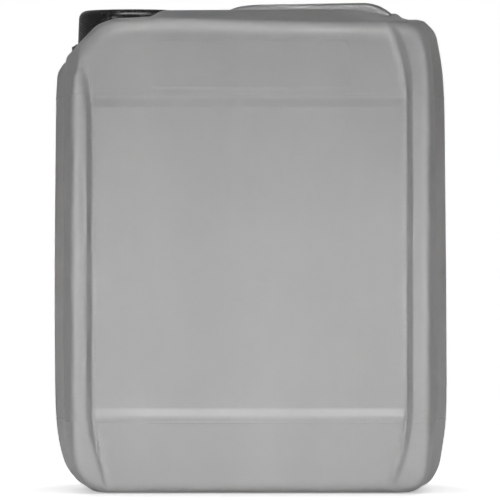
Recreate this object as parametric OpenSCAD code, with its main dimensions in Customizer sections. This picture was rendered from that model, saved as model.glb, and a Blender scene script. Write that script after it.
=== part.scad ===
// Five-litre stackable canister with a screw cap, at its real size in millimetres.
// The origin is the centre of the base, +Z is up, the wide front face looks to -Y
// and the neck stands at the -X end. Front and back are mirror images.

/* [Canister body] */
// Width of the front and back halves, across their corner pillars
body_w = 181; // [176:0.5:188]
// Depth of the body over the corner pillars
body_d = 146; // [138:0.5:154]
// Height of the shoulders
shoulder_z = 229.5; // [222:0.5:245]
// Wall thickness of the blow-moulded plastic
wall = 1.4; // [1:0.1:2]
// How much the sides lean in over the height of the body
side_lean = 1; // [0:0.1:2]
// Radius of the long edges at the top of the front and back
top_r = 14; // [8:0.5:18]
// Radius of the long edges at the foot of the front and back
foot_r = 6; // [3:0.5:9]

/* [Feet] */
// Width of the flat base
base_w = 160; // [150:0.5:166]
// Depth of the flat base
base_d = 136; // [128:0.5:138]
// Height of the sloped foot under the sides
foot_z = 9; // [6:0.5:12]
// How far the sloped foot spreads from the base on each side
foot_out = 5.5; // [4:0.25:7]
// Height at which the sides stop tapering
taper_z = 33; // [26:0.5:44]
// Radius with which that taper runs into the straight sides
taper_r = 33; // [16:1:36]
// Width of the push-up in the base
push_w = 132; // [110:1:140]
// Depth of the push-up in the base, front to back
push_d = 100; // [84:1:110]
// Height of the push-up
push_z = 4; // [2:0.25:8]
// Radius of the push-up's corners
push_r = 12; // [6:0.5:24]

/* [Corners] */
// Width of the diagonal cut over the neck end, in front and behind
cut_w = 23.7; // [18:0.1:26]
// Height of that diagonal cut
cut_h = 20; // [14:0.1:22]
// Radius at both ends of the diagonal cut
cut_r = 14; // [8:0.5:18]
// How far the handle end leans in at its top corner
corner_in = 6.5; // [4:0.25:9]
// Height of that corner below the shoulders
corner_h = 13; // [9:0.5:18]
// Radius of that corner
corner_r = 8; // [4:0.5:10]
// Radius with which the handle end starts to lean in
lean_r = 16; // [8:0.5:20]

/* [Side bands] */
// How far the band in the middle of each side stands out
band_out = 5.7; // [2:0.1:8]
// Depth of a band at its root
band_root = 32; // [24:0.5:44]
// Depth of a band at its crest
band_crest = 8; // [4:0.5:14]

/* [Front and back faces] */
// Half the distance between the outer edges of two corner pillars
pillar_edge = 87.2; // [85:0.1:87.6]
// Half the distance between their inner edges
pillar_in = 78.4; // [74:0.1:80]
// Height of a pillar above the face between them
pillar_h = 2.8; // [1:0.1:3.6]
// Depth behind a pillar at which the side walls are full width
pillar_back = 28; // [18:0.5:36]
// Foot of the recessed panel
panel_z0 = 39; // [34:0.5:50]
// Distance from the top of the recessed panel to the shoulders
panel_down = 43.5; // [40.5:0.5:53.5]
// Depth of the panel below the face around it
panel_h = 2.2; // [1:0.1:3.2]
// Width of the slopes round the panel and beside the pillars
slope_w = 4.2; // [2:0.1:6]

/* [Trough and hand pocket] */
// Width of the trough that holds the neck and the handle
trough_w = 72; // [68:0.5:76]
// End of the trough under the handle's root
trough_x = 60; // [54:0.5:63]
// Radius of the trough's corners at that end
trough_r = 12; // [8:0.5:22]
// Depth of the platform round the neck, below the shoulders
deck_down = 20.5; // [18.5:0.25:23.5]
// Depth of the hand pocket's floor, below the shoulders
pocket_down = 37.5; // [31.5:0.25:38.5]
// Start of the hand pocket beside the handle's leg
pocket_x = -8; // [-10:0.25:-4]

/* [Stacking rim] */
// Height of the rim above the shoulders
rim_h = 4.1; // [2:0.1:6]
// Half the depth of the rim at its foot
rim_y = 50; // [46:0.25:54]
// How much the rim leans in from its foot to its top
rim_lean = 3; // [1:0.1:5]
// Neck end of the rim
rim_x0 = -50; // [-56:0.25:-44]
// Handle end of the rim
rim_x1 = 75.5; // [71:0.25:77]
// Radius with which the rim turns round the handle's root
rim_r = 32; // [20:0.5:42]
// Run of the slope at the neck end of the rim
rim_run = 7; // [4:0.25:12]

/* [Handle] */
// Neck end of the handle
grip_x0 = -17; // [-19:0.25:-15]
// Point where the handle starts to slope down to its root
grip_x1 = 61; // [57:0.25:64]
// Height of the handle's top over the shoulders
grip_up = 8.8; // [6:0.1:12]
// Height that the handle's top gains along its length
grip_rise = 1.4; // [0:0.1:3]
// Thickness of the handle bar
grip_t = 14; // [11:0.25:17]
// Width of the handle bar
grip_w = 26; // [22:0.5:30]
// Width of the bar's underside
grip_under = 15; // [10:0.5:18]
// Radius of the edges along the bar's underside
under_r = 4; // [2:0.25:4.5]
// Radius of the edges along the bar's flanks and of the leg
flank_r = 3; // [1.5:0.25:3.5]
// Width of the handle's leg
leg_w = 15; // [10:0.5:18]
// Slope of the handle at its root, in degrees
root_slope = 34; // [26:1:42]
// Radius of the handle's corners
grip_r = 12; // [8:0.5:13]

/* [Neck] */
// Place of the neck along the trough
neck_x = -58; // [-60:0.25:-56]
// Diameter over the neck's thread
thread_d = 49.4; // [47:0.1:50.4]
// Depth of the thread
thread_h = 1.4; // [0.8:0.1:1.8]
// Bore of the neck
bore_d = 42; // [38:0.1:43]
// Height of the neck's lip over the platform
lip_h = 22.3; // [20:0.1:24]
// Height of the bead that traps the tamper ring, over the platform
bead_z = 4.3; // [3.6:0.1:5]
// Thickness of that bead
bead_t = 1.8; // [1:0.1:2.2]
// How far that bead stands out from the thread
bead_out = 1.9; // [1.4:0.1:2.2]

/* [Cap, ring and seal] */
// Running clearance round the thread and the bead
fit_gap = 0.3; // [0.2:0.05:0.5]
// Gap between pieces that lie on each other
seat_gap = 0.1; // [0.05:0.05:0.2]
// Gap between the cap and its tamper ring
break_gap = 0.5; // [0.3:0.05:0.8]
// Wall of the cap
cap_wall = 1.6; // [1.2:0.1:2]
// Thickness of the cap's top plate
cap_top_t = 1.6; // [1.2:0.1:2.2]
// How much the cap's skirt widens from top to bottom
cap_draft = 0.6; // [0:0.1:1]
// Radius of the cap's top edge
cap_r = 4; // [2:0.25:5]
// Number of key notches in the cap's top edge
notch_n = 6; // [0:1:12]
// Width of a key notch
notch_w = 1.6; // [1:0.1:2.4]
// Depth of a key notch, from the side and from the top
notch_h = 0.9; // [0.4:0.1:1]
// Direction of the first key notch, in degrees
notch_turn = -114; // [-120:1:-100]
// Height of the tamper ring
ring_h = 7.6; // [7:0.1:8]
// Wall of the tamper ring
ring_wall = 3; // [1.6:0.1:3.2]
// Slope on top of the tamper ring
ring_slope = 0.8; // [0.2:0.1:1.4]
// Height of the lip inside the tamper ring
ring_lip = 3.4; // [2:0.1:3.5]
// Number of bridges between the ring and the cap
bridge_n = 12; // [0:1:24]
// Width and thickness of a bridge
bridge_w = 0.8; // [0.4:0.1:1.4]
// Thickness of the sealing disc
seal_t = 1.2; // [0.8:0.1:2]

/* [Hidden] */
$fn = 180;
// Cuts run past the faces they open by this much
over = 1;
// Long extrusions reach this far past the origin
reach = 400;
// Straight outlines keep this much rounding at their corners
tiny_r = 0.6;
can_grey = [0.62, 0.62, 0.62];
cap_black = [0.08, 0.08, 0.08];
seal_white = [0.88, 0.88, 0.86];
half_w = body_w / 2;
half_d = body_d / 2;
// The plan and the side view keep clear of each other's flat faces by this much
margin = 0.5;
deck_z = shoulder_z - deck_down;
pocket_z = shoulder_z - pocket_down;
rim_z = shoulder_z + rim_h;
grip_z = shoulder_z + grip_up;
under_z = grip_z - grip_t;
lip_z = deck_z + lip_h;
ring_z0 = deck_z + seat_gap;
ring_z1 = ring_z0 + ring_h;
bead_r = thread_d / 2 + bead_out;
ring_r = bead_r + fit_gap + ring_wall;
cap_z0 = ring_z1 + ring_slope + break_gap;
seal_z0 = lip_z + seat_gap;
plate_z0 = seal_z0 + seal_t + seat_gap;
cap_z1 = plate_z0 + cap_top_t;
cap_bore_r = thread_d / 2 + fit_gap;
cap_top_r = cap_bore_r + cap_wall - cap_draft / 2;
cap_foot_r = cap_top_r + cap_draft;
seal_r = cap_bore_r - fit_gap;

// Unit vector along v
function unit(v) = v / norm(v);
// Corner i of a convex outline, moved in by d along both of its edges
function inset_point(p, i, d) =
    let (n = len(p),
         u = unit(p[i] - p[(i + n - 1) % n]),
         v = unit(p[(i + 1) % n] - p[i]),
         a = [-u[1], u[0]],
         b = [-v[1], v[0]])
    p[i] + d * (a + b) / (1 + a * b);
// A convex outline, listed counter-clockwise, with all of its edges moved in by d
function inset(p, d) = [for (i = [0 : len(p) - 1]) inset_point(p, i, d)];

// Area inside a convex outline whose corners have the radii r, all edges moved in by d.
// A corner whose radius is 0 stays sharp.
module rounded(p, r, d = 0) {
    q = inset(p, d);
    n = len(q);
    s = [for (i = [0 : n - 1]) r[i] > 0 ? max(r[i] - d, tiny_r) : 0];
    to_last = [for (i = [0 : n - 1]) unit(q[(i + n - 1) % n] - q[i])];
    to_next = [for (i = [0 : n - 1]) unit(q[(i + 1) % n] - q[i])];
    half = [for (i = [0 : n - 1]) acos(to_last[i] * to_next[i]) / 2];
    polygon([for (i = [0 : n - 1]) each s[i] > 0
        ? [q[i] + to_last[i] * s[i] / tan(half[i]), q[i] + to_next[i] * s[i] / tan(half[i])]
        : [q[i]]]);
    for (i = [0 : n - 1]) if (s[i] > 0)
        translate(q[i] + unit(to_last[i] + to_next[i]) * s[i] / sin(half[i])) circle(r = s[i]);
}

// Sweeps an outline drawn as seen from the front along the whole depth
module through_y() { rotate([90, 0, 0]) linear_extrude(reach, center = true) children(); }
// Sweeps an outline drawn as seen from the side, with its depth along the first axis
module through_x() { rotate([90, 0, 90]) linear_extrude(reach, center = true) children(); }
// Sweeps an outline drawn as seen from above
module through_z(z0 = -reach / 2, z1 = reach) { translate([0, 0, z0]) linear_extrude(z1 - z0) children(); }

// Front view of the body: the halves have out = 0, the bands stand out from them
function front_points(out) =
    let (w = half_w + out, top = shoulder_z + margin)
    [[-base_w / 2, 0], [base_w / 2, 0],
     [base_w / 2 + foot_out + out, foot_z],
     [w, taper_z],
     [w - side_lean, shoulder_z - corner_h - cut_h],
     [w - side_lean - corner_in / 2, shoulder_z - corner_h],
     [w - side_lean - corner_in, top],
     [-half_w + cut_w, top],
     [-w + side_lean / 2, top - cut_h - (out - side_lean / 2) * cut_h / cut_w],
     [-w, taper_z],
     [-base_w / 2 - foot_out - out, foot_z]];
front_radii = [foot_r, foot_r, foot_r, taper_r, taper_r, lean_r, corner_r, cut_r, cut_r, taper_r, foot_r];

// Plan of the front and back halves
function plan_points() =
    let (w = half_w + margin, d = half_d + margin, y = half_d - pillar_back)
    [[-pillar_edge, -d], [pillar_edge, -d], [w, -y], [w, y],
     [pillar_edge, d], [-pillar_edge, d], [-w, y], [-w, -y]];
pillar_r = 5;
plan_radii = [for (k = [0 : 1]) each [pillar_r, pillar_r, pillar_back, pillar_back]];

// Side view of the body
function side_points() =
    [[-base_d / 2, -margin], [base_d / 2, -margin], [half_d, foot_z],
     [half_d, shoulder_z], [-half_d, shoulder_z], [-half_d, foot_z]];
side_radii = [foot_r, foot_r, foot_r, top_r, top_r, foot_r];

// Front and back halves, their skin moved in by d
module halves(d) {
    intersection() {
        through_y() rounded(front_points(0), front_radii, d);
        through_x() rounded(side_points(), side_radii, d);
        through_z() rounded(plan_points(), plan_radii, d);
    }
}

// Raised band that runs down the middle of both sides
module bands(d) {
    w = half_w + band_out + margin;
    plan = [[-half_w, -band_root / 2], [half_w, -band_root / 2], [w, -band_crest / 2], [w, band_crest / 2],
            [half_w, band_root / 2], [-half_w, band_root / 2], [-w, band_crest / 2], [-w, -band_crest / 2]];
    intersection() {
        through_y() rounded(front_points(band_out), front_radii, d);
        through_z(-reach / 2, shoulder_z - d) polygon(inset(plan, d));
    }
}

// Stacking rim on the shoulders, which turns round the root of the handle
module rim(d) {
    foot = shoulder_z - rim_h;
    slope = rim_lean / rim_h;
    front = [[rim_x0 - rim_run, foot], [rim_x1 + margin, foot], [rim_x1 + margin, shoulder_z + rim_h / 4],
             [rim_x1 - rim_lean, rim_z], [rim_x0 + rim_run, rim_z]];
    side = [[-rim_y - rim_h * slope, foot], [rim_y + rim_h * slope, foot],
            [rim_y - rim_lean, rim_z], [-rim_y + rim_lean, rim_z]];
    y = rim_y + margin;
    plan = [[-half_w, -y], [rim_x1, -y], [rim_x1, y], [-half_w, y]];
    intersection() {
        through_y() polygon(inset(front, d));
        through_x() polygon(inset(side, d));
        through_z() rounded(plan, [tiny_r, rim_r, rim_r, tiny_r], d);
    }
}

// Space in front of the face between the pillars, and of the panel, on the front side
module front_relief(d) {
    panel_z1 = shoulder_z - panel_down;
    face = -half_d + pillar_h + d;
    panel = face + panel_h;
    through_z() polygon([
        [-pillar_in - slope_w * d / pillar_h, -half_d - over], [-pillar_in, -half_d + d],
        [-pillar_in + slope_w, face], [pillar_in - slope_w, face],
        [pillar_in, -half_d + d], [pillar_in + slope_w * d / pillar_h, -half_d - over]]);
    intersection() {
        through_z() polygon([
            [-pillar_in, face - over], [-pillar_in + slope_w, panel],
            [pillar_in - slope_w, panel], [pillar_in, face - over]]);
        through_x() polygon([
            [face - over, panel_z0 - slope_w], [panel, panel_z0],
            [panel, panel_z1], [face - over, panel_z1 + slope_w]]);
    }
}

// Trough between the shoulders, with the neck's platform and the deeper hand pocket
module trough(d) {
    y = trough_w / 2;
    plan = [[-reach / 2, -y], [trough_x, -y], [trough_x, y], [-reach / 2, y]];
    pocket = [[pocket_x, -y + margin], [trough_x - margin, -y + margin],
              [trough_x - margin, y - margin], [pocket_x, y - margin]];
    through_z(deck_z - d) rounded(plan, [tiny_r, trough_r, trough_r, tiny_r], -d);
    through_z(pocket_z - d) rounded(pocket, [for (i = [0 : 3]) trough_r - margin], -d);
}

// Push-up in the base
module push_up(d) {
    x = push_w / 2;
    y = push_d / 2;
    plan = [[-x, -y], [x, -y], [x, y], [-x, y]];
    through_z(-over, push_z + d) rounded(plan, [for (i = [0 : 3]) push_r], -d);
}

// Bar of the carrying handle with the root that slopes into the shoulders, its skin moved in by d
module bar(d) {
    depth = grip_t + grip_r;
    bow = [[grip_x0, grip_z - depth], [grip_x1 + depth / tan(root_slope), grip_z - depth],
           [grip_x1, grip_z], [grip_x0, grip_z - grip_rise]];
    flank_z = grip_z - flank_r - margin;
    section = [[-grip_under / 2, under_z], [grip_under / 2, under_z],
               [grip_w / 2, flank_z], [grip_w / 2, grip_z + margin],
               [-grip_w / 2, grip_z + margin], [-grip_w / 2, flank_z]];
    intersection() {
        through_y() rounded(bow, [0, 0, grip_r, grip_r], d);
        through_x() rounded(section, [under_r, under_r, flank_r, flank_r, flank_r, flank_r], d);
    }
}

// Leg of the carrying handle between two heights, its skin moved in by d
module leg(z0, z1, d) {
    y = leg_w / 2;
    plan = [[grip_x0, -y], [pocket_x, -y], [pocket_x, y], [grip_x0, y]];
    through_z(z0, z1) rounded(plan, [for (i = [0 : 3]) flank_r], d);
}

// Space inside the handle, which opens into the body at its leg and at its root
module grip_inside() {
    bar(wall);
    leg(deck_z - wall - over, under_z + wall + over, wall);
}

// The whole moulded form, its skin moved in by d
module form(d) {
    difference() {
        union() {
            halves(d);
            bands(d);
            rim(d);
        }
        front_relief(d);
        mirror([0, 1, 0]) front_relief(d);
        trough(d);
        push_up(d);
    }
}

// Outside of the neck: plain wall, thread band at its crest, and the bead that traps the ring
module neck_outside() {
    root_r = thread_d / 2 - thread_h;
    band_z0 = cap_z0 + thread_h;
    translate([neck_x, 0, 0]) {
        translate([0, 0, deck_z - wall]) cylinder(r = root_r, h = lip_z - deck_z + wall);
        translate([0, 0, band_z0]) cylinder(r = thread_d / 2, h = lip_z - 2 * thread_h - band_z0);
        translate([0, 0, deck_z + bead_z]) cylinder(r = bead_r, h = bead_t);
    }
}

module canister() {
    color(can_grey) difference() {
        union() {
            form(0);
            neck_outside();
        }
        form(wall);
        grip_inside();
        translate([neck_x, 0, deck_z - wall - over]) cylinder(d = bore_d, h = lip_h + wall + 2 * over);
    }
}

// The handle is moulded in one with the body. It is kept apart here, so that it collides as it is.
module grip_bar() {
    color(can_grey) difference() {
        bar(0);
        grip_inside();
        translate([trough_x, -reach / 2, rim_z - reach]) cube(reach);
    }
}

module grip_leg() {
    color(can_grey) difference() {
        leg(deck_z, under_z, 0);
        grip_inside();
    }
}

module tamper_ring() {
    bore_r = bead_r + fit_gap;
    lip_r = thread_d / 2 - thread_h + 2 * fit_gap;
    color(cap_black) translate([neck_x, 0, ring_z0]) {
        rotate_extrude() polygon([
            [lip_r, 0], [ring_r, 0], [ring_r, ring_h], [bore_r, ring_h + ring_slope],
            [bore_r, ring_lip], [lip_r, ring_lip]]);
        for (i = [0 : 1 : bridge_n - 1]) rotate(i * 360 / bridge_n)
            translate([bore_r, -bridge_w / 2, ring_h])
                cube([bridge_w, bridge_w, ring_slope + break_gap - seat_gap]);
    }
}

module screw_cap() {
    h = cap_z1 - cap_z0;
    side = [[0, 0], [cap_foot_r, 0], [cap_top_r, h], [0, h]];
    color(cap_black) translate([neck_x, 0, cap_z0]) difference() {
        rotate_extrude() rounded(side, [0, 0, cap_r, 0]);
        translate([0, 0, -over]) cylinder(r = cap_bore_r, h = plate_z0 - cap_z0 + over);
        for (i = [0 : 1 : notch_n - 1]) rotate(notch_turn + i * 360 / notch_n)
            translate([cap_top_r - notch_h, -notch_w / 2, h - cap_r]) cube([cap_r, notch_w, cap_r + over]);
    }
}

module seal_disc() {
    color(seal_white) translate([neck_x, 0, seal_z0]) cylinder(r = seal_r, h = seal_t);
}

canister();
grip_bar();
grip_leg();
tamper_ring();
screw_cap();
seal_disc();
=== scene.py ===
import math

import bmesh
import bpy
import numpy as np
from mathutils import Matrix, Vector


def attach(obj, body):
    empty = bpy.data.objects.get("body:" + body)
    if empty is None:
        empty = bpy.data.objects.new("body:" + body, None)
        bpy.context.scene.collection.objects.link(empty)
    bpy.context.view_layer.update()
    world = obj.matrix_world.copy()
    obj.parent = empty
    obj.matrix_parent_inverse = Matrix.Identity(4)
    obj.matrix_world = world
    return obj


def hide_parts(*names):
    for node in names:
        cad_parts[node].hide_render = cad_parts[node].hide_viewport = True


# A grey blow-moulded canister with a black screw cap. Sizes below are millimetres in the CAD frame:
# the origin under the middle of the base, +Z up, the front face towards -Y, the neck at the -X end.
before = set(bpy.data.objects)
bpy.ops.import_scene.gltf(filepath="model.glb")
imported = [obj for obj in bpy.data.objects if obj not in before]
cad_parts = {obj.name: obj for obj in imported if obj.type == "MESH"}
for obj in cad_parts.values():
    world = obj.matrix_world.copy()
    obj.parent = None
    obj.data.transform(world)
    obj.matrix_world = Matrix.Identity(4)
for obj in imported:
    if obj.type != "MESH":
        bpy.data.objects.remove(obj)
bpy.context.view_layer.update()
MM = 0.001

# The sizes that the looks share with the CAD solids: the body, the trough and the neck
HALF_DEPTH, SHOULDER_Z, RIM_H, WALL = 73.0, 229.5, 4.1, 1.4
DECK_Z, POCKET_Z, STEP_X = 209.0, 192.0, -8.0
NECK_X, BORE_R, ROOT_R, CREST_R, BEAD_R, PITCH, LIP_Z = -58.0, 21.0, 23.3, 24.7, 26.6, 5.0, 231.3


def rounded_graph(x, xs, ys, r):
    """The straight-line graph through (xs, ys), read at x. It is averaged from x - r to x + r, as the
    difference of its running integral at both ends, which turns each corner into a parabola."""
    xs, ys = np.asarray(xs, float), np.asarray(ys, float)
    area = np.concatenate([[0], np.cumsum(np.diff(xs) * (ys[1:] + ys[:-1]) / 2)])

    def integral(v):
        inside = np.clip(v, xs[0], xs[-1])
        i = np.clip(np.searchsorted(xs, inside, side="right") - 1, 0, len(xs) - 2)
        step = inside - xs[i]
        slope = (ys[i + 1] - ys[i]) / (xs[i + 1] - xs[i])
        beyond = (v - inside) * np.where(v < xs[0], ys[0], ys[-1])
        return area[i] + ys[i] * step + slope * step ** 2 / 2 + beyond

    return (integral(x + r) - integral(x - r)) / (2 * r)


def spread(stops, counts):
    """Places along a line: each stretch between two stops is cut into its count of equal steps."""
    parts = [np.linspace(a, b, n, endpoint=False) for a, b, n in zip(stops, stops[1:], counts)]
    return np.concatenate(parts + [[stops[-1]]])


def corner_weights(at, knots, radii, period=0.0):
    """Share of every control corner at every place, as a table of places by corners. A corner's share
    is the hat graph that is 1 at its own knot and 0 at the others, rounded with the radius there.
    With a period the corners close into a ring, and a few of them are repeated beyond its ends."""
    knots, radii = np.asarray(knots, float), np.asarray(radii, float)
    n = len(knots)
    repeated = 4 if period else 0
    index = np.arange(-repeated, n + repeated)
    places = knots[index % n] + period * (index // n)
    radius = rounded_graph(at, places, radii[index % n], 3.0)
    table = np.zeros((len(at), n))
    for j, i in enumerate(index % n):
        table[:, i] += rounded_graph(at, places, (np.arange(len(places)) == j) * 1.0, radius)
    return table


def placed(name, data):
    """A new object in the scene, at the origin, that holds a mesh, a lamp or a camera."""
    obj = bpy.data.objects.new(name, data)
    bpy.context.scene.collection.objects.link(obj)
    return obj


def grid_mesh(name, grid, closed_columns=False, capped=False):
    """Makes an object of a grid of points (rows, columns, 3) in millimetres, with a quad between each
    four neighbours. Each row closes on itself, and so does each column if closed_columns is set.
    Otherwise the end rows shrink to a point, where they are merged, or they are capped with a flat
    face. Every face is then turned outwards by the sign of the closed volume."""
    rows, columns = grid.shape[:2]
    own = np.arange(rows * columns).reshape(rows, columns)
    beside = np.roll(own, -1, axis=1)
    if closed_columns:
        quads = np.stack([own, beside, np.roll(beside, -1, 0), np.roll(own, -1, 0)], -1)
    else:
        quads = np.stack([own[:-1], beside[:-1], beside[1:], own[1:]], -1)
    faces = quads.reshape(-1, 4).tolist()
    if capped:
        faces += [own[0, ::-1].tolist(), own[-1].tolist()]
    mesh = bpy.data.meshes.new(name)
    mesh.from_pydata((grid.reshape(-1, 3) * MM).tolist(), [], faces)
    work = bmesh.new()
    work.from_mesh(mesh)
    bmesh.ops.remove_doubles(work, verts=work.verts, dist=2e-6)
    bmesh.ops.dissolve_degenerate(work, edges=work.edges, dist=1e-7)
    if work.calc_volume(signed=True) < 0:
        bmesh.ops.reverse_faces(work, faces=work.faces)
    work.to_mesh(mesh)
    work.free()
    mesh.shade_smooth()
    return placed(name, mesh)


def joined(name, objects):
    """One object out of several, with their meshes side by side."""
    whole = bmesh.new()
    for obj in objects:
        whole.from_mesh(obj.data)
        bpy.data.meshes.remove(obj.data)
    mesh = bpy.data.meshes.new(name)
    whole.to_mesh(mesh)
    whole.free()
    mesh.shade_smooth()
    return placed(name, mesh)


# The outline of the canister, as control corners. A corner is named by its place on the ring, which is
# walked from the front left pillar to the right, along the right side, the back and the left side.
RING = ["front_left", "front_cut", "front_rim0", "front_rim1", "front_right",
        "right_a", "right_b", "right_c", "right_d", "right_e", "right_f",
        "back_right", "back_rim1", "back_rim0", "back_cut", "back_left",
        "left_a", "left_b", "left_c", "left_d", "left_e", "left_f", "left_g", "left_h", "left_i", "left_j"]
RING_AT = np.array([0, 19.2, 36, 43, 172, 200.3, 229.3, 242.6, 250.6, 263.9, 292.9,
                    321.2, 450.2, 457.2, 474, 493.2,
                    521.5, 529.1, 531.1, 550.5, 563.8, 571.8, 585.1, 604.5, 606.5, 614.1])
RING_ROUND = np.array([4.5, 8, 3, 3, 4.5, 20, 1.8, 2.4, 2.4, 1.8, 20,
                       4.5, 3, 3, 8, 4.5,
                       7, 1, 1, 1.8, 2.4, 2.4, 1.8, 1, 1, 7])
RING_LENGTH = 642.4
FRONT_END, BACK_START, BACK_END = RING_AT[4], RING_AT[11], RING_AT[15]

# The same corners in groups: those of the front and the back together, and those of each side
LEFT_PILLARS, CUTS, RIM_STARTS, RIM_ENDS, RIGHT_PILLARS = [0, 15], [1, 14], [2, 13], [3, 12], [4, 11]
FACES = LEFT_PILLARS + CUTS + RIM_STARTS + RIM_ENDS + RIGHT_PILLARS
RIGHT_SIDE, RIGHT_ENDS, RIGHT_CREST = slice(5, 11), [5, 10], [7, 8]
LEFT_SIDE, DECK_SIDES, DECK, LEFT_CREST = slice(16, 26), [17, 18, 23, 24], slice(18, 24), [20, 21]

# On the shoulders the ring turns its corners more softly
RING_ROUND_TOP = RING_ROUND.copy()
RING_ROUND_TOP[RIGHT_PILLARS + RIGHT_ENDS] = 14.0
RING_ROUND_TOP[LEFT_PILLARS], RING_ROUND_TOP[CUTS] = 8.0, 9.0


def ring_corners(left, right, depth, edge, z, band=0.0, end=45.0):
    """The control corners of one ring at height z. The front and back faces lie at the depth and reach
    from -edge[0] to edge[1]. The sides lie at left and right from the place end inwards, and their
    middle bands stand out by band."""
    root, crest, wall = 16.0, 4.0, min(37.0, end)
    front = [(-edge[0], -depth), (-66.8, -depth), (-50, -depth), (-43, -depth), (edge[1], -depth)]
    side = [(right, -end), (right, -root), (right + band, -crest),
            (right + band, crest), (right, root), (right, end)]
    far = [(x, -y) for x, y in front[::-1]]
    other = [(-left, end), (-left, wall), (-left, wall - 2), (-left, root), (-left - band, crest),
             (-left - band, -crest), (-left, -root), (-left, 2 - wall), (-left, -wall), (-left, -end)]
    return np.array([(x, y, z) for x, y in front + side + far + other], float)


def side_ring(z, left, right, edge=(86.0, 86.0), band=5.6):
    """A level ring of the walls at height z: left and right are the crests of the sides' bands."""
    return ring_corners(left - band, right - band, HALF_DEPTH, edge, z, band)


def set_corners(ring, **places):
    """Moves named corners of a ring, and their mirror images at the back when their name says front."""
    for name, place in places.items():
        ring[RING.index(name)] = place
        if name.startswith("front"):
            ring[RING.index(name.replace("front", "back"))] = (place[0], -place[1], place[2])
    return ring


def cut_z(x):
    """Height of the sloped cut over the neck end, at the place x."""
    return np.interp(x, [-90.5, -84.5, -72.5, -66.8], [DECK_Z, 215.2, 227.2, SHOULDER_Z])


def top_ring(left, right, depth, edge, end, rise=0.0, wall=37.0):
    """A ring on the shoulders: it follows the sloped cut at the neck end, lies on the deck between the
    trough's walls, and is raised by rise where the stacking rim stands. Outside the rim, where rise
    is 0, its right corners hang a little."""
    r = ring_corners(left, right, depth, edge, SHOULDER_Z, end=end)
    r[:, 2] = cut_z(r[:, 0])
    r[CUTS, 0], r[CUTS, 2] = -71.5, SHOULDER_Z - 1.3
    r[RIM_STARTS, 2] -= 0.3
    r[RIM_ENDS, 2] += 0.86 * rise
    r[RIGHT_PILLARS, 2] += rise if rise else -2.6
    r[RIGHT_ENDS, 2] -= 0.0 if rise else 1.6
    r[RIGHT_SIDE, 2] += np.array([0.1, 0.4, 0.85, 0.85, 0.4, 0.1]) * rise
    r[DECK_SIDES, 1] = wall, wall - 2, 2 - wall, -wall
    r[DECK, 2] = DECK_Z
    return r


TOP_FILLET, FOOT_FILLET, DRAFT = 2.4, 3.2, 1.6
RIM_CORNER_Z = SHOULDER_Z + 0.4


def trough_ring(inside):
    """A ring round the trough, moved into it by a distance."""
    x, y = 60.0 - inside, 36.0 - inside
    r = top_ring(84.5 - inside / 2, x, y, (82.5 - inside / 2, 54.0), y - 0.5, RIM_H, y - 0.6)
    return set_corners(r, right_a=(x, -30, RIM_CORNER_Z), right_f=(x, 30, RIM_CORNER_Z))


# The rings of the outside that aren't plain: the base's middle, which is pushed up, the foot that it
# stands on, two where the walls lean in, the edge of the shoulders, and the stacking rim's wall
push_up = ring_corners(61, 61, 45, (52, 52), 4.0, end=36)
foot = ring_corners(78.3, 82.3, 68, (75.3, 79.3), 0.0, band=3.0, end=44)
foot[FACES, 2] = 0.6
middle = side_ring(203.0, 95.4, 93.9)
middle[LEFT_SIDE, 2], middle[RIGHT_SIDE, 2], middle[LEFT_PILLARS, 0] = 194.5, 205.0, -85.0
below = side_ring(215.5, 95.2, 91.6, (86.0, 84.0), band=5.2)
below[LEFT_SIDE, 2], below[RIGHT_SIDE, 2] = 199.0, 219.0
set_corners(below, front_left=(-82.5, -HALF_DEPTH, 203.5))
edge = top_ring(90.9, 85.0, HALF_DEPTH, (83.0, 80.0), 45)
edge[LEFT_PILLARS] += [1.0, 0, -3.0]
edge[CUTS, 2] -= 1.2
edge[RIGHT_CREST, 0] += 4.2
edge[LEFT_CREST, 0] -= 3.7
rim_foot = set_corners(top_ring(86.2, 75.5, 51.5, (83.5, 50.0), 40), front_right=(50, -51.5, SHOULDER_Z),
                       right_a=(75.5, -29, SHOULDER_Z), right_f=(75.5, 29, SHOULDER_Z))
rim_top = set_corners(top_ring(86.0, 71.5, 43.5, (83.2, 48.0), 38.6, rise=RIM_H),
                      right_a=(71.5, -27, RIM_CORNER_Z), right_f=(71.5, 27, RIM_CORNER_Z))

# The outside from the middle of the base up and over to the trough: a ring's place along the skin,
# about in millimetres, the radius with which the skin turns there, and the ring's control corners
EDGE_AT = 311.0
SKIN = [(0.0, 0.01, push_up * [0, 0, 1]),
        (60.0, 1.5, push_up),
        (66.0, 1.5, ring_corners(66, 66, 50, (56, 56), 0.0, end=40)),
        (80.0, 6.5, foot),
        (91.0, 5.5, side_ring(9.0, 90.0, 92.0, (83.8, 85.2))),
        (100.0, 5.0, side_ring(18.0, 93.2, 93.5, (85.5, 85.5))),
        (112.0, 6.0, side_ring(30.0, 95.2, 95.3)),
        (127.0, 10.0, side_ring(45.0, 96.1, 96.0)),
        (182.0, 20.0, side_ring(100.0, 96.4, 95.7)),
        (272.0, 8.0, side_ring(190.0, 95.6, 94.8)),
        (285.0, 5.0, middle),
        (297.0, 12.0, below),
        (EDGE_AT, 13.0, edge),
        (325.0, 1.5, top_ring(86.5, 77.0, 59.0, (81.5, 71.0), 44)),
        (334.0, 1.4, rim_foot),
        (339.0, 1.4, rim_top),
        (348.0, 0.6, trough_ring(-TOP_FILLET))]

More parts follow.
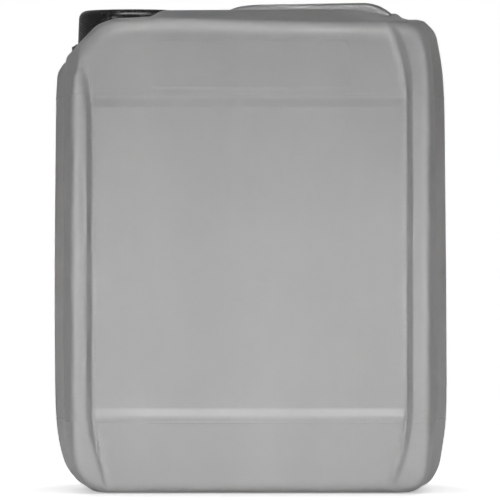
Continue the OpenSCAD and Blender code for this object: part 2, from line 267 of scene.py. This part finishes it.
# The grid: its columns stand round the ring and its rows up the skin, and both crowd in the bends
front_and_right = spread(
    [0, 2, 7, 13.6, 19.2, 34.4, 37, 43, 82, 93, 133, 136, 150, 159, 165, 170, 172,
     176, 200, 228, 231, 241, 244, 246.4, 246.8, 249.4, 252, 262, 265, 292, 317, 321.2],
    [2, 3, 13, 3, 7, 4, 3, 12, 11, 13, 5, 6, 6, 12, 3, 2,
     4, 9, 8, 4, 4, 3, 2, 1, 2, 3, 4, 4, 8, 9, 4])
front = front_and_right[(front_and_right > 0) & (front_and_right <= FRONT_END)]
back = BACK_START + (FRONT_END - front[::-1])
left = spread([BACK_END, 497.4, 521.5, 528, 532, 549, 552, 562, 565, 567.6, 568, 570.6, 573, 583, 586,
               603.5, 607.5, 614, 638, RING_LENGTH],
              [4, 7, 4, 7, 5, 4, 4, 3, 2, 1, 2, 3, 4, 4, 5, 7, 4, 7, 4])
columns = np.unique(np.round(np.concatenate([front_and_right, back, left[:-1]]), 4))
columns = columns[columns < RING_LENGTH - 0.01]
rows = spread(
    [0, 60, 66, 74, 91, 100, 112, 115.4, 117.2, 119.2, 123.6, 127, 267, 272.3, 274.7, 276, 277.6, 285,
     297, 301, 325, 334, 335.6, 337.6, 340.4, 348],
    [4, 6, 2, 12, 4, 4, 2, 6, 2, 9, 2, 18, 10, 6, 1, 5, 4, 6, 7, 14, 3, 3, 2, 4, 3])
stations, radii, corners = zip(*SKIN)
around = corner_weights(columns, RING_AT, RING_ROUND, RING_LENGTH)
around_top = corner_weights(columns, RING_AT, RING_ROUND_TOP, RING_LENGTH)
along = corner_weights(rows, stations, radii)
rings = np.stack([(around_top if at > EDGE_AT else around) @ ring for at, ring in zip(stations, corners)])
outside = np.einsum("tm,msc->tsc", along, rings)
WALL_ROW = 80


def normals_of(grid):
    """Unit normals of a grid that closes on itself along its rows, from its two directions. Their sign
    is the one with which a row of the upright walls points away from the middle."""
    along_row = np.roll(grid, -1, 1) - np.roll(grid, 1, 1)
    n = np.cross(along_row, np.gradient(grid, axis=0))
    n /= np.maximum(np.linalg.norm(n, axis=2, keepdims=True), 1e-9)
    outwards = np.sum(n[WALL_ROW, :, :2] * grid[WALL_ROW, :, :2])
    return n if outwards > 0 else -n


# The middle of each groove, as heights and the x at each, and the depths under the corner pillars
GROOVE_LEFT = ([0, 4.4, 11.6, 21.2, 30.8, 40, 180, 196, 204, 212, 218, 224],
               [-67.8, -68.5, -70.2, -73.3, -75.7, -76.5, -76.5, -77.3, -78.8, -81, -85, -91])
GROOVE_RIGHT = ([0, 6.8, 14, 21.2, 30.8, 40, 180, 196, 205.6, 215.2, 223.4, 232],
                [66.5, 68, 70.3, 72.6, 74.2, 75.1, 75.1, 74.4, 72.6, 69.7, 65.8, 61])
PILLAR_H, PANEL_H, GROOVE_H, LABEL_H = 2.8, 2.7, 6.2, 0.45
LABEL = (-49.6, 47.0, 194.7, 217.7, 3.5)


def relief(x, z):
    """Depth of the skin below the corner pillars, at x and z of the front view. Across a groove it is
    a graph of the distance from the groove's middle, which runs up the face as a rounded curve. It
    is deeper beside the recessed panel. The blank label field is a rectangle with round corners,
    told by the distance to its outline."""

    def up(heights, values, r):
        return rounded_graph(z, heights, values, r)

    on_left = x < 0
    inner = np.where(on_left, x - up(*GROOVE_LEFT, 5.0), up(*GROOVE_RIGHT, 5.0) - x)
    panel = up([36.9, 40.9, 185.5, 189.6], [0, 1, 1, 0], 0.6)
    fade = 1 - np.where(on_left, up([198, 208], [0, 1], 3), up([216, 228], [0, 1], 3))
    valley = PILLAR_H + 1.9 * fade
    wide = 1 - 0.4 * up([188, 202], [0, 1], 3)
    across = np.where(inner < 0, inner * wide, inner)
    plain = np.maximum(rounded_graph(across, [-2.4, -0.2, 0.3, 3.0], [0, 1, 1, 0], 0.4) * valley,
                       rounded_graph(across, [-2.4, 0.4], [0, PILLAR_H], 0.4))
    panel_share = (PILLAR_H + PANEL_H) / GROOVE_H
    deep = rounded_graph(inner, [-2.4, 0.1, 0.7, 2.2], [0, 1, 1, panel_share], 0.35) * GROOVE_H
    x0, x1, z0, z1, r = LABEL
    dx = np.abs(x - (x0 + x1) / 2) - (x1 - x0) / 2 + r
    dz = np.abs(z - (z0 + z1) / 2) - (z1 - z0) / 2 + r
    out = np.hypot(np.maximum(dx, 0), np.maximum(dz, 0)) + np.minimum(np.maximum(dx, dz), 0) - r
    label = LABEL_H * (1 - rounded_graph(out, [-0.5, 0.5], [0, 1], 0.3))
    return plain * (1 - panel) + deep * panel + label


def mould_lines(z):
    """Height of the two raised lines where the mould's inserts meet, as narrow hats of the height."""
    return 0.24 * sum(rounded_graph(z, [at - 0.5, at, at + 0.5], [0, 1, 0], 0.2) for at in (34.2, 191.5))


# The relief moves the faces straight back, as far as they face the front or the back. On the shoulders
# it follows the row under them. The mould lines, the parting line along the middle of the sides and
# the creases beside the sides' bands move the skin along its normal.
SHOULDER_AT = 300.0
normal = normals_of(outside)
facing = np.abs(normal[..., 1]) / np.maximum(np.hypot(normal[..., 0], normal[..., 1]), 1e-6)
shoulder_row = np.searchsorted(rows, SHOULDER_AT)
facing[shoulder_row:] = facing[shoulder_row]
back_in = relief(outside[..., 0], outside[..., 2]) * facing
back_in *= rounded_graph(rows, [80, 92, 317, 332], [0, 1, 1, 0], 3)[:, None]
on_side = ((columns >= FRONT_END) & (columns <= BACK_START)) | (columns >= BACK_END)
side_y = np.abs(outside[..., 1])
raised = mould_lines(outside[..., 2])
raised += rounded_graph(side_y, [0.0, 0.25, 0.5], [0.15, 0.12, 0], 0.1)
raised -= rounded_graph(side_y, [15.5, 16.2, 16.9], [0, 0.8, 0], 0.2) * on_side
raised *= rounded_graph(rows, [84, 90, 305, 315], [0, 1, 1, 0], 2)[:, None]
outside[..., 1] -= np.sign(outside[..., 1]) * back_in
outside += normal * raised[..., None]


def floor_z(x):
    """Height of the trough's floor: the deck round the neck, a step down, and the hand pocket."""
    return rounded_graph(x, [STEP_X - 1.3, STEP_X + 1.3], [DECK_Z, POCKET_Z], 1.4)


def trough_wall():
    """The trough's wall: a convex fillet, a slightly sloped wall and a concave fillet, each as rings
    moved into the trough. A fillet shrinks with the height of the wall where it runs out at the neck."""
    turn = np.linspace(0, math.pi / 2, 6)[1:]
    rings = [(TOP_FILLET * (math.sin(a) - 1), TOP_FILLET * (1 - math.cos(a)), 0.0) for a in turn]
    rings += [(DRAFT * f, 0.0, f) for f in np.linspace(0, 1, 7)[1:-1]]
    rings += [(DRAFT, 0.0, 1.0)]
    rings += [(DRAFT + FOOT_FILLET * (1 - math.cos(a)), FOOT_FILLET * (1 - math.sin(a)), 1.0) for a in turn]
    made = []
    for inside, offset, share in rings:
        ring = around_top @ trough_ring(inside)
        top, floor = ring[:, 2].copy(), floor_z(ring[:, 0])
        height = np.maximum(top - floor, 0)
        scale = np.minimum(1, height / (TOP_FILLET + FOOT_FILLET + 1))
        if share == 0.0:
            ring[:, 2] = top - offset * scale
        elif share == 1.0:
            ring[:, 2] = floor + offset * scale
        else:
            ring[:, 2] = (top - TOP_FILLET * scale) * (1 - share) + (floor + FOOT_FILLET * scale) * share
        ring[:, 2] = np.maximum(ring[:, 2], floor)
        made.append(ring)
    return np.array(made)


wall_rings = trough_wall()
wall_foot = wall_rings[-1]
angle = np.unwrap(np.arctan2(wall_foot[:, 1], wall_foot[:, 0] - NECK_X))


def neck_ring(r, z):
    """A circle round the neck's axis, with a point on each column's ray."""
    r, z = np.broadcast_to(r, angle.shape), np.broadcast_to(z, angle.shape)
    return np.stack([NECK_X + r * np.cos(angle), r * np.sin(angle), z], -1)


def trough_floor():
    """The floor between the wall's foot and the neck: each column runs straight to the neck's circle,
    and its rings crowd together where it crosses the step into the hand pocket."""
    target = neck_ring(ROOT_R + 2.6, DECK_Z)
    over_step = wall_foot[:, 0] > target[:, 0]
    span = np.maximum(wall_foot[:, 0] - target[:, 0], 1e-6)
    at_foot = np.where(over_step, np.maximum((wall_foot[:, 0] - STEP_X - 3.2) / span, 0.12), 0.12)
    at_top = np.where(over_step, np.maximum((wall_foot[:, 0] - STEP_X + 3.2) / span, 0.4), 0.4)
    shares = [at_foot * f for f in np.linspace(0, 1, 6)[1:]]
    shares += [at_foot + (at_top - at_foot) * f for f in np.linspace(0, 1, 10)[1:]]
    shares += [at_top + (1 - at_top) * f for f in np.linspace(0, 1, 6)[1:]]
    made = wall_foot + (target - wall_foot) * np.clip(shares, 0, 1)[..., None]
    made[..., 2] = floor_z(made[..., 0])
    return made


def thread_height(turn_angle, z, start, end):
    """Share of a thread's depth at an angle and a height: a trapezium round the helix that climbs one
    pitch a turn, fading in and out over a third of a turn at its ends."""
    climb = (z - start) / PITCH - turn_angle / (2 * math.pi)
    nearest = np.round(climb)
    off = np.abs(climb - nearest) * PITCH
    centre = start + PITCH * (turn_angle / (2 * math.pi) + nearest)
    ends = rounded_graph(centre, [start, start + 1.4, end - 1.4, end], [0, 1, 1, 0], 0.3)
    return rounded_graph(off, [0.55, 1.25], [1, 0], 0.2) * ends


THREAD_START, THREAD_END = 219.6, 229.6


def neck_rings():
    """The neck: a fillet, the bead that holds the tamper ring, the helical thread, the rounded lip and
    the bore. Its radius is a graph of its height."""
    fillet, bead0, bead1, lip_r = 2.0, 213.3, 215.1, 0.7
    mid, half = (ROOT_R + BORE_R) / 2, (ROOT_R - BORE_R) / 2
    profile = [(ROOT_R + fillet * (1 - math.sin(a)), DECK_Z + fillet * (1 - math.cos(a)))
               for a in np.linspace(0, math.pi / 2, 5)[1:]]
    profile += [(ROOT_R, 212.2), (ROOT_R, bead0 - 0.05), (BEAD_R - 0.3, bead0), (BEAD_R, bead0 + 0.3),
                (BEAD_R, bead0 + 0.9), (BEAD_R - 0.35, bead1 - 0.35), (ROOT_R + 0.5, bead1 + 0.5),
                (ROOT_R, bead1 + 1.0)]
    profile += [(ROOT_R + (CREST_R - ROOT_R) * thread_height(angle, z, THREAD_START, THREAD_END), z)
                for z in np.linspace(217.6, 230.2, 38)]
    profile += [(mid + half * math.cos(a), LIP_Z - lip_r + lip_r * math.sin(a))
                for a in np.linspace(0, math.pi, 7)]
    profile += [(BORE_R, z) for z in (225.0, 216.0, DECK_Z - WALL)]
    return np.array([neck_ring(r, z) for r, z in profile])


# The shell runs from the middle of the base over the outside, the trough and the neck, and down the
# bore. The inner wall goes back under every few of its rings, a wall's thickness inwards.
floor_rings = trough_floor()
shell = np.concatenate([outside, wall_rings, floor_rings, neck_rings()])
neck_start = len(outside) + len(wall_rings) + len(floor_rings)
under = [*range(neck_start - 4, len(outside), -3), *range(len(outside) - 2, 12, -7), 10, 6, 3, 0]
inside = shell[under] - normals_of(shell)[under] * WALL
inside[-1] = shell[0] + [0, 0, WALL]
inside[..., 2] = np.maximum(inside[..., 2], WALL)
canister_skin = grid_mesh("skin", np.concatenate([shell, inside]))

# The handle's bar: its thickness, and its widths at the top and below. The leg's are the second ones.
GRIP_T, GRIP_TOP, GRIP_LOW = (14.0, 9.2), (26.0, 19.5), (15.0, 17.5)
LEG_FILLET, ROOT_FLARE, SQUARENESS = 4.0, 3.0, 0.42


def handle():
    """A rounded section carried along a path in the middle plane: a leg beside the neck, a bar, and a
    root that runs down into the shoulders. The path is a straight-line graph with rounded corners,
    from inside the shoulder up the root's slope, along the bar and down the leg. The section is a
    superellipse, and its thickness and widths are graphs of the distance along the path. It flares
    at the leg's foot as a quarter circle, and at the root as a parabola."""
    path_x = [67.0, 60.5, -11.0, -12.6, -12.6]
    path_z = [224.5, 231.2, 230.0, 224.0, 204.5]
    at = np.concatenate([[0], np.cumsum(np.hypot(np.diff(path_x), np.diff(path_z)))])
    t = spread([0, 4, at[1] + 8, at[2] - 16, at[2] + 12, at[4] - 12, at[4]], [3, 16, 22, 26, 6, 14])
    bend = rounded_graph(t, [0, at[1] + 12, at[2] - 14, at[3] + 6, at[4]], [6, 6, 7.5, 7.5, 4], 4)
    bend = np.minimum(bend, np.minimum(t + 2.0, at[4] - t + 2.0))
    x, z = rounded_graph(t, at, path_x, bend), rounded_graph(t, at, path_z, bend)
    dx, dz = np.gradient(x, t), np.gradient(z, t)
    size = np.hypot(dx, dz)
    level = np.zeros_like(t)
    centre, up = np.stack([x, level, z], -1), np.stack([dz / size, level, -dx / size], -1)
    leg = rounded_graph(t, [at[2] - 12, at[2] + 10], [0, 1], 4)[:, None]
    thick, wide_top, wide_low = [bar * (1 - leg) + low * leg for bar, low in (GRIP_T, GRIP_TOP, GRIP_LOW)]
    reach = LEG_FILLET - np.clip(at[4] - 4.5 - t, 0, LEG_FILLET)[:, None]
    flare = LEG_FILLET - np.sqrt(LEG_FILLET ** 2 - reach ** 2)
    root = ROOT_FLARE * np.clip((15.0 - t) / 9.0, 0, 1)[:, None] ** 2
    points = 48
    a = (np.arange(points) + 0.5) * 2 * math.pi / points
    ca, sa = [np.sign(v) * np.abs(v) ** SQUARENESS for v in (np.cos(a), np.sin(a))]
    share = (sa + 1) / 2
    wide = ca * ((wide_low * (1 - share) + wide_top * share) / 2 + flare + root)
    high = sa * thick / 2 + flare * np.maximum(sa, 0) - root * np.maximum(-sa, 0)
    grid = centre[:, None, :] + high[..., None] * up[:, None, :] + wide[..., None] * [0.0, 1.0, 0.0]
    return grid_mesh("grip", grid, capped=True)


canister = joined("canister_moulding", [canister_skin, handle()])

# The closure: cap, tamper ring and sealing disc, turned about the neck's axis
CAP_Z0, CAP_Z1, CAP_FOOT_R, CAP_TOP_R, CAP_BORE_R, CAP_EDGE_R = 218.0, 234.3, 26.9, 26.3, 25.0, 4.0
NOTCHES, NOTCH_TURN, NOTCH_H = 6, math.radians(-114), 0.9
CAP_THREAD_H = 1.1
TURN = 2 * math.pi
CIRCLE = np.linspace(0, TURN, 240, endpoint=False)


def turned(name, profile, a, change=None):
    """A profile of radius and height turned about the neck's axis, through the angles a. change moves
    the points, given their angle, radius and height."""
    r, h = [np.repeat(np.array(part, float)[:, None], len(a), 1) for part in zip(*profile)]
    if change:
        r, h = change(a, r, h)
    return grid_mesh(name, np.stack([NECK_X + r * np.cos(a), r * np.sin(a), h], -1))


def arc(cr, cz, r, a0, a1, n):
    """Points of a circular arc in the profile, from angle a0 to a1 in degrees."""
    return [(cr + r * math.cos(a), cz + r * math.sin(a)) for a in np.radians(np.linspace(a0, a1, n))]


def cap():
    """The cap's profile: under the plate and down the threaded bore, round the foot, up the drafted
    skirt and over the rounded top edge to the middle, which is very slightly dished."""
    plate_z = CAP_Z1 - 1.6
    slope = (CAP_FOOT_R - CAP_TOP_R) / (CAP_Z1 - CAP_Z0)
    edge_r, edge_z = CAP_TOP_R - CAP_EDGE_R + 0.1, CAP_Z1 - CAP_EDGE_R
    profile = [(0.0, plate_z), (12.0, plate_z), (CAP_BORE_R - 0.6, plate_z)]
    profile += arc(CAP_BORE_R - 0.5, plate_z - 0.5, 0.5, 90, 0, 4)
    profile += [(CAP_BORE_R, z) for z in np.linspace(plate_z - 0.8, CAP_Z0 + 0.6, 34)]
    profile += [(CAP_BORE_R + 0.3, CAP_Z0 + 0.05), (CAP_BORE_R + 0.5, CAP_Z0), (CAP_FOOT_R - 0.4, CAP_Z0)]
    profile += arc(CAP_FOOT_R - 0.35, CAP_Z0 + 0.35, 0.35, -90, 0, 4)
    profile += [(CAP_FOOT_R - slope * (z - CAP_Z0), z) for z in np.linspace(CAP_Z0 + 1.0, edge_z - 0.2, 9)]
    profile += arc(edge_r, edge_z, CAP_EDGE_R, 2, 88, 22)
    profile += [(r, CAP_Z1 - 0.12 * (1 - (r / 22.3) ** 2)) for r in (22.0, 21.0, 18.0, 14.0, 9.0, 4.0, 0.0)]

    def change(a, r, z):
        """Adds the helical thread inside, and cuts the key notches into the top edge, towards the
        edge's centre."""
        in_bore = (np.abs(r - CAP_BORE_R) < 0.02) & (z < plate_z - 0.6)
        r = r - np.where(in_bore, CAP_THREAD_H * thread_height(a, z, THREAD_START, plate_z - 1.4), 0)
        sector = TURN / NOTCHES
        side = ((a - NOTCH_TURN + sector / 2) % sector - sector / 2) * CAP_TOP_R
        notch = 1 - rounded_graph(np.abs(side), [0.66, 0.94], [0, 1], 0.1)
        out, up = np.clip((r - edge_r) / CAP_EDGE_R, 0, 1), np.clip((z - edge_z) / CAP_EDGE_R, 0, 1)
        in_edge = rounded_graph(z, [edge_z - 0.4, edge_z + 0.1], [0, 1], 0.15) * (r > 22.9)
        deep = NOTCH_H * notch * in_edge / np.maximum(np.hypot(out, up), 0.1)
        return r - deep * out, z - deep * up

    across = np.linspace(-1.3, 1.3, 27) / CAP_TOP_R
    notches = NOTCH_TURN + np.arange(NOTCHES)[:, None] * TURN / NOTCHES + across
    angles = np.concatenate([notches.ravel() % TURN, np.linspace(0, TURN, 360, endpoint=False)])
    return turned("cap_moulding", profile, np.unique(np.round(angles, 4)), change)


def tamper_band():
    """The tamper ring's profile: a bore that hooks under the neck's bead, a foot with rounded edges,
    a straight outside and a sloped top. On the top stand the broken bridges, which taper upwards."""
    z0, z1, out, bore, lip = 209.1, 216.7, 29.9, 26.9, 23.9
    profile = [(lip, z0 + 0.4), (lip + 0.3, z0), (out - 0.6, z0)] + arc(out - 0.5, z0 + 0.5, 0.5, -90, 0, 5)
    profile += arc(out - 0.35, z1 - 0.35, 0.35, 0, 80, 5)
    profile += [(bore + 0.5, z1 + 1.12), (bore, z1 + 1.0), (bore, z0 + 4.0), (bore - 0.2, z0 + 3.6),
                (lip + 0.6, z0 + 3.4), (lip, z0 + 3.0)]
    r, z = np.array(profile).T[:, :, None]
    band = np.stack([NECK_X + r * np.cos(CIRCLE), r * np.sin(CIRCLE), z + 0 * CIRCLE], -1)
    pieces = [grid_mesh("band", band, closed_columns=True)]
    corners = np.array([[-0.45, -0.4], [0.45, -0.4], [0.45, 0.4], [-0.45, 0.4]])
    levels = np.array([[0.5, 1.5], [0.95, 1.2], [1.12, 0.9], [1.2, 0.9]])
    for turn in np.radians(np.arange(0, 360, 30)):
        away, beside = (corners * levels[:, 1, None, None] + [bore + 0.7, 0]).transpose(2, 0, 1)
        x = NECK_X + away * math.cos(turn) - beside * math.sin(turn)
        y = away * math.sin(turn) + beside * math.cos(turn)
        bridge = np.stack([x, y, z1 + levels[:, :1] + 0 * x], -1)
        pieces.append(grid_mesh("bridge", bridge, capped=True))
    return joined("tamper_band", pieces)


def foam_disc():
    """The foam disc: a flat face with a rounded rim, and the faint ring that the lip pressed into it."""
    z0, z1, out = 231.4, 232.6, 24.4
    mid = (ROOT_R + BORE_R) / 2
    profile = [(0.0, z0), (10.0, z0), (mid - 1.6, z0), (mid - 1.1, z0 + 0.1), (mid, z0 + 0.14),
               (mid + 1.1, z0 + 0.1), (mid + 1.6, z0)]
    profile += arc(out - 0.35, z0 + 0.35, 0.35, -90, 0, 4) + arc(out - 0.35, z1 - 0.35, 0.35, 0, 90, 4)
    profile += [(18.0, z1), (0.0, z1)]
    return turned("foam_disc", profile, CIRCLE[::2])


screw_cap, tamper_ring, seal_disc = cap(), tamper_band(), foam_disc()


class Wire:
    """An output socket in a node tree, on which Python's arithmetic adds Math nodes."""

    def __init__(self, nodes, socket):
        self.nodes, self.socket = nodes, socket

    def math(self, operation, a, b):
        return self.nodes.node("ShaderNodeMath", {"operation": operation}, {0: a, 1: b})

    def __add__(self, other):
        return self.math("ADD", self, other)

    def __sub__(self, other):
        return self.math("SUBTRACT", self, other)

    def __rsub__(self, other):
        return self.math("SUBTRACT", other, self)

    def __mul__(self, other):
        return self.math("MULTIPLY", self, other)

    __radd__, __rmul__ = __add__, __mul__


class Nodes:
    """A node tree under construction, with one method that adds any node."""

    def __init__(self, tree):
        self.tree = tree

    def node(self, kind, settings, sockets, output=0):
        """Adds a node of a kind with its settings, then the values or wires of its sockets."""
        node = self.tree.nodes.new(kind)
        for key, value in settings.items():
            setattr(node, key, value)
        for key, value in sockets.items():
            if isinstance(value, Wire):
                self.tree.links.new(value.socket, node.inputs[key])
            else:
                node.inputs[key].default_value = value
        return Wire(self, node.outputs[output])

    def ray(self, kind):
        """1 for rays of a kind, and 0 for the others."""
        return self.node("ShaderNodeLightPath", {}, {}, f"Is {kind} Ray")

    def band(self, wire, low, high, to_low=0.0, to_high=1.0):
        """The wire from low to high, stretched to reach from to_low to to_high and held there."""
        return self.node("ShaderNodeMapRange", {"clamp": True},
                         {"Value": wire, "From Min": low, "From Max": high,
                          "To Min": to_low, "To Max": to_high})

    def into(self, wire, node, socket):
        """Leads a wire into a node that the tree began with."""
        self.tree.links.new(wire.socket, self.tree.nodes[node].inputs[socket])


class Finish(Nodes):
    """A material under construction, round its Principled shader."""

    def __init__(self, name, **plain):
        self.material = bpy.data.materials.new(name)
        self.material.use_nodes = True
        super().__init__(self.material.node_tree)
        self.shader = self.tree.nodes["Principled BSDF"]
        for socket, value in plain.items():
            self.shader.inputs[socket.replace("_", " ")].default_value = value
        self.place = self.node("ShaderNodeTexCoord", {}, {}, "Object")

    def feed(self, **wires):
        """Leads wires into the shader's sockets."""
        for socket, wire in wires.items():
            self.into(wire, "Principled BSDF", socket.replace("_", " "))

    def noise(self, scale, detail=2.0, rough=0.5, stretch=None):
        """Cloudy noise in the piece's own place, if asked stretched along its axes."""
        at = self.place
        if stretch:
            at = self.node("ShaderNodeMapping", {}, {"Vector": at, "Scale": stretch})
        return self.node("ShaderNodeTexNoise", {"noise_dimensions": "3D"},
                         {"Vector": at, "Scale": scale, "Detail": detail, "Roughness": rough})

    def mix(self, share, a, b):
        """Colour a, and as much of colour b as the share says."""
        return self.node("ShaderNodeMix", {"data_type": "RGBA"}, {0: share, 6: a, 7: b}, 2)

    def bump(self, height, strength, distance):
        """A bumped normal from a height."""
        return self.node("ShaderNodeBump", {}, {"Height": height, "Strength": strength, "Distance": distance})


def grey(value):
    """A neutral, opaque colour."""
    return (value, value, value, 1.0)


def can_plastic():
    """Satin grey polyethylene: the fine grain of a blasted mould, faint flow streaks that run up the
    wall, a slight orange peel, and scuffs that polish or dull it in small patches."""
    f = Finish("can_plastic", IOR=1.5)
    grain = f.noise(2600.0, 3.0, 0.6)
    peel = f.noise(190.0, 2.0)
    streaks = f.noise(26.0, 3.0, 0.55, (1.0, 1.0, 0.16))
    patches = f.noise(34.0, 4.0, 0.6)
    tone = f.band(streaks * 0.6 + patches * 0.4, 0.38, 0.62)
    f.feed(Base_Color=f.mix(tone, grey(0.405), grey(0.43)),
           Roughness=f.band(patches + (grain - 0.5) * 0.12, 0.35, 0.65, 0.3, 0.37),
           Normal=f.bump(grain * 0.4 + peel * 0.3, 0.2, 0.00012))
    return f.material


def cap_plastic():
    """Glossy black polypropylene: a very slight moulding ripple, a haze of handling in patches and
    fine scratches that run round the cap and across its top."""
    f = Finish("cap_plastic", IOR=1.49)
    ripple = f.noise(120.0, 2.0)
    haze = f.noise(55.0, 4.0, 0.65)
    fine = f.noise(420.0, 2.0, 0.5, (1.0, 1.0, 6.0))
    scratches = f.band(fine, 0.62, 0.68)
    f.feed(Base_Color=f.mix(haze, grey(0.012), grey(0.019)),
           Roughness=f.band(haze, 0.35, 0.7, 0.2, 0.3) + scratches * 0.12,
           Normal=f.bump(ripple + fine * 0.15, 0.1, 0.0003))
    return f.material


def foam():
    """Matt off-white closed-cell foam with a pore texture."""
    f = Finish("seal_foam", Roughness=0.85, IOR=1.45)
    cells = f.node("ShaderNodeTexVoronoi", {"feature": "F1"},
                   {"Vector": f.place, "Scale": 1500.0}, "Distance")
    shade = f.noise(300.0, 3.0)
    f.feed(Base_Color=f.mix(shade, grey(0.66), (0.76, 0.755, 0.73, 1)), Normal=f.bump(cells, 0.3, 0.0002))
    return f.material


for piece, body, nodes, slot, finish in (
        (canister, "can", ("canister", "grip_bar", "grip_leg"), "canister_plastic", can_plastic()),
        (tamper_ring, "can", ("tamper_ring",), "cap_plastic", cap_plastic()),
        (screw_cap, "cap", ("screw_cap",), "cap_plastic", cap_plastic()),
        (seal_disc, "seal", ("seal_disc",), "seal_foam", foam())):
    piece.data.materials.append(finish)
    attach(piece, body)
    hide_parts(*nodes)

# The floor: pale paper that is lit as any surface. The camera and clear surfaces see it white, with a
# soft shade close to the object, and gloss sees a share of that.
FLOOR = 30.0
GLOSS_SHARE = 0.18
floor_mesh = bpy.data.meshes.new("floor")
floor_mesh.from_pydata([(-FLOOR, -FLOOR, 0), (FLOOR, -FLOOR, 0), (FLOOR, FLOOR, 0), (-FLOOR, FLOOR, 0)],
                       [], [(0, 1, 2, 3)])
floor = placed("floor", floor_mesh)

paper = Finish("floor_paper", Roughness=0.9, Specular_IOR_Level=0.0, Base_Color=grey(0.8))
openness = paper.node("ShaderNodeAmbientOcclusion", {"samples": 8}, {"Distance": 0.09}, "AO")
glow = paper.node("ShaderNodeEmission", {},
                  {"Color": grey(1.0), "Strength": paper.band(openness, 0.0, 1.0, 0.35, 0.95)})
lit = Wire(paper, paper.shader.outputs["BSDF"])
white = paper.node("ShaderNodeAddShader", {}, {0: glow, 1: lit})
seen = paper.ray("Camera") + paper.ray("Glossy") * GLOSS_SHARE + paper.ray("Transmission")
shown = paper.node("ShaderNodeMixShader", {}, {0: paper.band(seen, 0.0, 1.0), 1: lit, 2: white})
paper.into(shown, "Material Output", "Surface")
floor_mesh.materials.append(paper.material)

# The background: white to the camera and through clear surfaces, a dim fill on matt ones, and in gloss
# a share of white that is larger behind the object than in front
scene = bpy.context.scene
world = bpy.data.worlds.new("studio")
scene.world = world
world.use_nodes = True
sky = Nodes(world.node_tree)
direction = sky.node("ShaderNodeTexCoord", {}, {}, "Generated")
depth = sky.node("ShaderNodeSeparateXYZ", {}, {0: direction}, "Y")
behind = sky.band(depth, -0.25, 0.25, 0.1, GLOSS_SHARE)
strength = sky.ray("Camera") + sky.ray("Transmission") + sky.ray("Glossy") * behind
sky.into(sky.band(strength, 0.0, 1.0, 0.07, 1.0), "Background", "Strength")
sky.tree.nodes["Background"].inputs["Color"].default_value = grey(1.0)


def soft_lamp(name, place, aim, width, height, power, beam=None):
    """A rectangular lamp at a place in metres, turned to face a point, with a power in watts. With a
    beam, in degrees, it lights matt surfaces in a narrow cone and is left out of the gloss. Without
    one it shows in the gloss alone."""
    lamp = bpy.data.lights.new(name, "AREA")
    lamp.shape, lamp.size, lamp.size_y, lamp.energy = "RECTANGLE", width, height, power
    if beam:
        lamp.spread = math.radians(beam)
    obj = placed(name, lamp)
    obj.location = place
    obj.rotation_euler = (Vector(aim) - Vector(place)).to_track_quat("-Z", "Y").to_euler()
    obj.visible_glossy, obj.visible_diffuse = not beam, bool(beam)


MIDDLE, BOX = (0, 0, 0.12), 0.35
for hand, side, power in (("left", -1, 0.284), ("right", 1, 0.268)):
    soft_lamp(hand + "_box", (side * 0.85, -1.95, 0.22), (side * 0.05, 0, 0.072), BOX, BOX, power, beam=16)
    soft_lamp(hand + "_strip", (side * 1.35, -1.5, 0.32), MIDDLE, 0.5, 0.6, 9)
    soft_lamp(hand + "_rear", (side * 0.5, 1.95, 1.2), MIDDLE, BOX, BOX, 0.36, beam=24)
soft_lamp("sheen_strip", (0, -0.8, 1.48), (0, 0, 0.2), 1.4, 0.6, 18)

lens = bpy.data.cameras.new("camera")
lens.sensor_width, lens.lens = 36.0, 440.0
lens.clip_start, lens.clip_end = 0.1, 30.0
camera = placed("camera", lens)
camera.location = (-0.0005, -3.0, 0.117)
camera.rotation_euler = (math.pi / 2, 0, 0)
scene.camera = camera
scene.view_settings.view_transform = "Standard"
